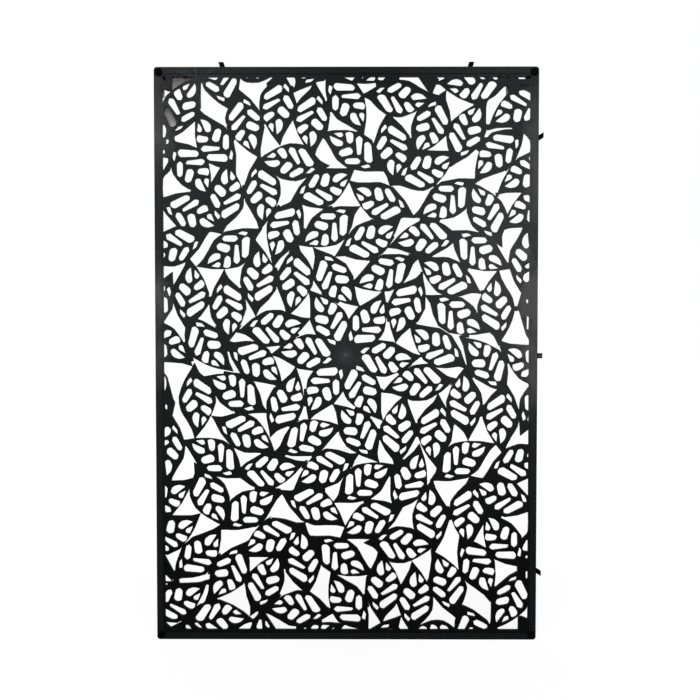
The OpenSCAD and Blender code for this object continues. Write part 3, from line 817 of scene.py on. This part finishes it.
# %% Skins in four openings
SKIN_BACK, SKIN_FRONT, SKIN_CHAMFER = -5.0, -5.6, 0.1
SKINS = {
    "skin_top_left": [
        (-275, 437), (-237, 437), (-238, 433), (-252, 424), (-270, 412), (-276, 422),
    ],
    "skin_long_cell": [
        (-286, 386), (-281, 390), (-277, 389), (-274, 384), (-271, 379), (-264, 364),
        (-264, 356), (-270, 353), (-280, 363), (-286, 376),
    ],
    "skin_small_cell": [(-289, 424), (-284, 424), (-284, 404), (-289, 402)],
    "skin_top_right": [(249, 424), (254, 424), (254, 406), (249, 408)],
}
for name, outline in SKINS.items():
    plate(name, outline, SKIN_BACK, SKIN_FRONT, SKIN_CHAMFER, skin_finish)

# %% [markdown]
# ## Closed cells
# A few small cells at the top corners never opened: only their outline shows, as a fine dark
# line in the face, which is shade in a fine groove. The line could be drawn in the colour, but
# it has a real step. So each cell is two plates with round ends, a black one of painted shade,
# and a smaller charcoal one that stands a little further out and leaves only the black rim in
# sight.

# %% Closed cells at the top
END_STEPS = 6
RIM_FRONT, FACE_FRONT, CLOSED_BACK = -9.55, -9.62, -9.0
RIM_CHAMFER, FACE_CHAMFER = 0.02, 0.05
RIM_WIDTH = 1.0
# For each cell: x, z, length and width in mm, tilt in degrees.
CLOSED = {
    "closed_cell_a": (217.5, 433.6, 6.5, 4.4, 0),
    "closed_cell_b": (239.0, 434.0, 7.5, 3.6, 10),
    "closed_cell_c": (251.6, 434.0, 7.0, 4.6, 0),
    "closed_cell_d": (277.5, 420.5, 13.0, 4.2, 0),
    "closed_cell_e": (-251.0, 434.5, 9.0, 2.6, 0),
}


def rounded_bar(x, z, length, width, tilt):
    """The outline of a bar with round ends, turned by tilt degrees."""
    outline = []
    turn = math.radians(tilt)
    for end in (1, -1):
        for step in range(END_STEPS + 1):
            angle = math.radians(90 - 180 * step / END_STEPS) + (0.0 if end > 0 else math.pi)
            along = end * (length - width) / 2 + width / 2 * math.cos(angle)
            up = width / 2 * math.sin(angle)
            outline.append((
                x + along * math.cos(turn) - up * math.sin(turn),
                z + along * math.sin(turn) + up * math.cos(turn),
            ))
    return outline


for name, (x, z, length, width, tilt) in CLOSED.items():
    rim_line = rounded_bar(x, z, length, width, tilt)
    face_line = rounded_bar(x, z, length - 2 * RIM_WIDTH, width - 2 * RIM_WIDTH, tilt)
    # The black rim is painted shade in the fine groove round the closed cell.
    plate(name + "_rim", rim_line, CLOSED_BACK, RIM_FRONT, RIM_CHAMFER, black_finish)
    plate(name, face_line, CLOSED_BACK, FACE_FRONT, FACE_CHAMFER, panel_finish)

# %% [markdown]
# ## Shaded holes
# Beside each upper plug a small hole shows black in the face of the frame, in deep shade. It is
# a black plate of painted shade. It could be a scaled cylinder, but its ends would then be
# squashed, so it is the same rounded bar as above, leaning on the left and level on the right,
# and it stands half a millimetre proud.

# %% Two plates of painted shade
SHADE_PLATE_BACK, SHADE_PLATE_FRONT, SHADE_PLATE_CHAMFER = -9.0, -10.0, 0.3
SHADED_HOLES = {
    "peg_left": (-283.8, 432.6, 7.5, 3.6, 110),
    "peg_right": (283.6, 433.6, 8.0, 4.2, 0),
}
# Black plates of painted shade where the small holes beside the upper plugs are dark.
for name, sizes in SHADED_HOLES.items():
    plate(name, rounded_bar(*sizes), SHADE_PLATE_BACK, SHADE_PLATE_FRONT, SHADE_PLATE_CHAMFER, black_finish)

# %% [markdown]
# ## The gate mark
# The melt came in through one gate in the very middle, which left a pip inside a low ring.
# A bump could fake it, but from the side it would vanish, so it is turned: a profile of radius
# and height is swept round the gate in small steps.


# %% A turned piece
def turned(name, x, z, base, profile, steps, finish):
    """Sweeps (radius, height) in mm round (x, z), heights counted towards the front."""
    points = []
    for step in range(steps):
        angle = 2 * math.pi * step / steps
        for radius, height in profile:
            points.append((
                (x + radius * math.cos(angle)) * MM,
                (base - height) * MM,
                (z + radius * math.sin(angle)) * MM,
            ))
    count = len(profile)
    tip = len(points)
    points.append((x * MM, (base - profile[0][1]) * MM, z * MM))
    faces = []
    for step in range(steps):
        here = step * count
        there = (step + 1) % steps * count
        faces.append((tip, here, there))
        for row in range(count - 1):
            faces.append((here + row, here + row + 1, there + row + 1, there + row))
    mesh = outward_mesh(name, points, faces)
    for face in mesh.polygons:
        face.use_smooth = True
    return link(name, mesh, finish)


# %% The gate mark
GATE_STEPS = 48
# Each pair: radius, and height above the lattice's face, in mm.
GATE_PROFILE = [
    (0.5, 0.30), (0.8, 0.25), (1.0, 0.05), (1.6, 0.05), (1.9, 0.25), (2.3, 0.28),
    (2.6, 0.20), (3.2, 0.06), (4.2, 0.02), (4.4, -0.3),
]
turned("gate_mark", GATE_X, GATE_Z, LATTICE_FRONT, GATE_PROFILE, GATE_STEPS, panel_finish)

# %% [markdown]
# ## Camera
# The photograph was taken from just above the middle, about 1.2 m away, looking down by one
# and a half degrees: the top edge is a little wider in it than the bottom edge. A long lens
# further off would give nearly the same frame, but then the thickness of the lattice would not
# show at the top and bottom as it does.

# %% The camera of the photograph
LENS, SENSOR = 39.0, 36.0
CAMERA_PLACE = (0.0102, -1.2, 0.0394)
LEVEL = math.radians(90)
DOWN = math.radians(1.46)
TO_THE_LEFT = math.radians(0.21)

lens_data = bpy.data.cameras.new("photo_camera")
lens_data.sensor_fit = "HORIZONTAL"
lens_data.sensor_width = SENSOR
lens_data.lens = LENS
camera = bpy.data.objects.new("photo_camera", lens_data)
bpy.context.scene.collection.objects.link(camera)
camera.location = CAMERA_PLACE
camera.rotation_euler = Euler((LEVEL - DOWN, 0.0, TO_THE_LEFT), "XYZ")
bpy.context.scene.camera = camera
print("camera at", CAMERA_PLACE, "with a lens of", LENS, "mm")

# %% [markdown]
# ## Light
# The photograph has soft, even studio light with no hard shadow. A bare world light would do
# for the colour but leave the edges flat. One wide soft box above and in front lights the face,
# two narrow ones favour the side bars, and one behind keeps the back from going black. They
# are weak enough that each colour renders about as it is written.


# %% Soft boxes
def soft_box(name, place, aim, size, watts):
    """A rectangular lamp at a place, turned towards the point at which it aims."""
    lamp = bpy.data.lights.new(name, "AREA")
    lamp.shape = "RECTANGLE"
    lamp.size, lamp.size_y = size
    lamp.energy = watts
    box = bpy.data.objects.new(name, lamp)
    bpy.context.scene.collection.objects.link(box)
    box.location = place
    box.rotation_euler = (Vector(aim) - Vector(place)).to_track_quat("-Z", "Y").to_euler()
    print("lamp:", name, watts, "W")


soft_box("key_box", (0.0, -1.3, 3.0), (0.0, 0.0, 0.0), (2.0, 0.8), 90.0)
soft_box("left_box", (-0.80, -1.9, 0.62), (0.0, 0.0, 0.2), (0.55, 0.90), 3.0)
soft_box("right_box", (0.80, -1.9, 0.42), (0.0, 0.0, 0.1), (0.55, 0.95), 4.0)
soft_box("back_box", (-0.6, 1.6, 1.6), (0.0, 0.0, 0.0), (1.6, 1.2), 20.0)

# %% [markdown]
# ## White surroundings
# The photograph has a pure white ground. More lamp power would bleach the panel too, so the
# world turns white only for rays that come from the camera, a mirror or glass, and gives
# everything else a plain grey light.

# %% The world
WHITE = (1.0, 1.0, 1.0)
WORLD_LIGHT = 0.10


def seen_directly(finish):
    """1 for rays that the camera, a mirror or glass sends, else 0."""
    camera_ray = finish.node("LightPath", output="Is Camera Ray")
    rays = camera_ray.socket.node.outputs
    glossy = Value(finish.tree, rays["Is Glossy Ray"])
    through = Value(finish.tree, rays["Is Transmission Ray"])
    return (camera_ray + glossy + through).clamped()


sky = Finish("white_room", world=True)
sky_strength = seen_directly(sky) * (1.0 - WORLD_LIGHT) + WORLD_LIGHT
glow = sky.node("Background", {}, {"Color": WHITE, "Strength": sky_strength})
sky.node("OutputWorld", {}, {"Surface": glow})
bpy.context.scene.world = sky.material
print("light of the world on the object:", WORLD_LIGHT)

# %% [markdown]
# ## The floor
# The floor is white in the same way, but it has to take the panel's shadow, which a shining
# floor can't. So it is part glow and part dark paint. Near the panel, where the lamps light the
# paint, the glow steps back by as much, and what the panel keeps from the paint shows as a
# soft shadow.

# %% The paper on the floor
PAINT = (0.10, 0.10, 0.10)
STEP_BACK = 0.10
POOL_WIDE, POOL_DEEP_SQUARED = 2.0, 2.0
FLOOR_Z = cad_box[0][2]

paper = Finish("white_paper")
paint = paper.node("BsdfDiffuse", {}, {"Color": PAINT})
depth = paper.node("SeparateXYZ", {}, {"Vector": paper.place()}, output="Y")
near = spot(paper, 0.0, FLOOR_Z, POOL_WIDE, 1.0)
near = (near * (1.0 - depth * depth / POOL_DEEP_SQUARED).clamped()).clamped()
glare = seen_directly(paper) * (1.0 - near * STEP_BACK)
light = paper.node("Emission", {}, {"Color": WHITE, "Strength": glare})
both = paper.node("AddShader", {}, {0: paint, 1: light})
paper.node("OutputMaterial", {}, {"Surface": both})
print("finish:", paper.material.name, "with", len(paper.tree.nodes), "nodes")

# %% The floor
FLOOR_REACH = 12.0

floor_mesh = bpy.data.meshes.new("floor")
floor_mesh.from_pydata(
    [(side * FLOOR_REACH, end * FLOOR_REACH, FLOOR_Z) for side, end in CORNERS],
    [], [(3, 0, 1, 2)],
)
floor_mesh.materials.append(paper.material)
floor = bpy.data.objects.new("floor", floor_mesh)
bpy.context.scene.collection.objects.link(floor)
print("floor at z =", FLOOR_Z)

# %% [markdown]
# ## Closing
# The colours are shown as they are written, with the Standard view.

# %% Close the scene
bpy.context.scene.view_settings.view_transform = "Standard"
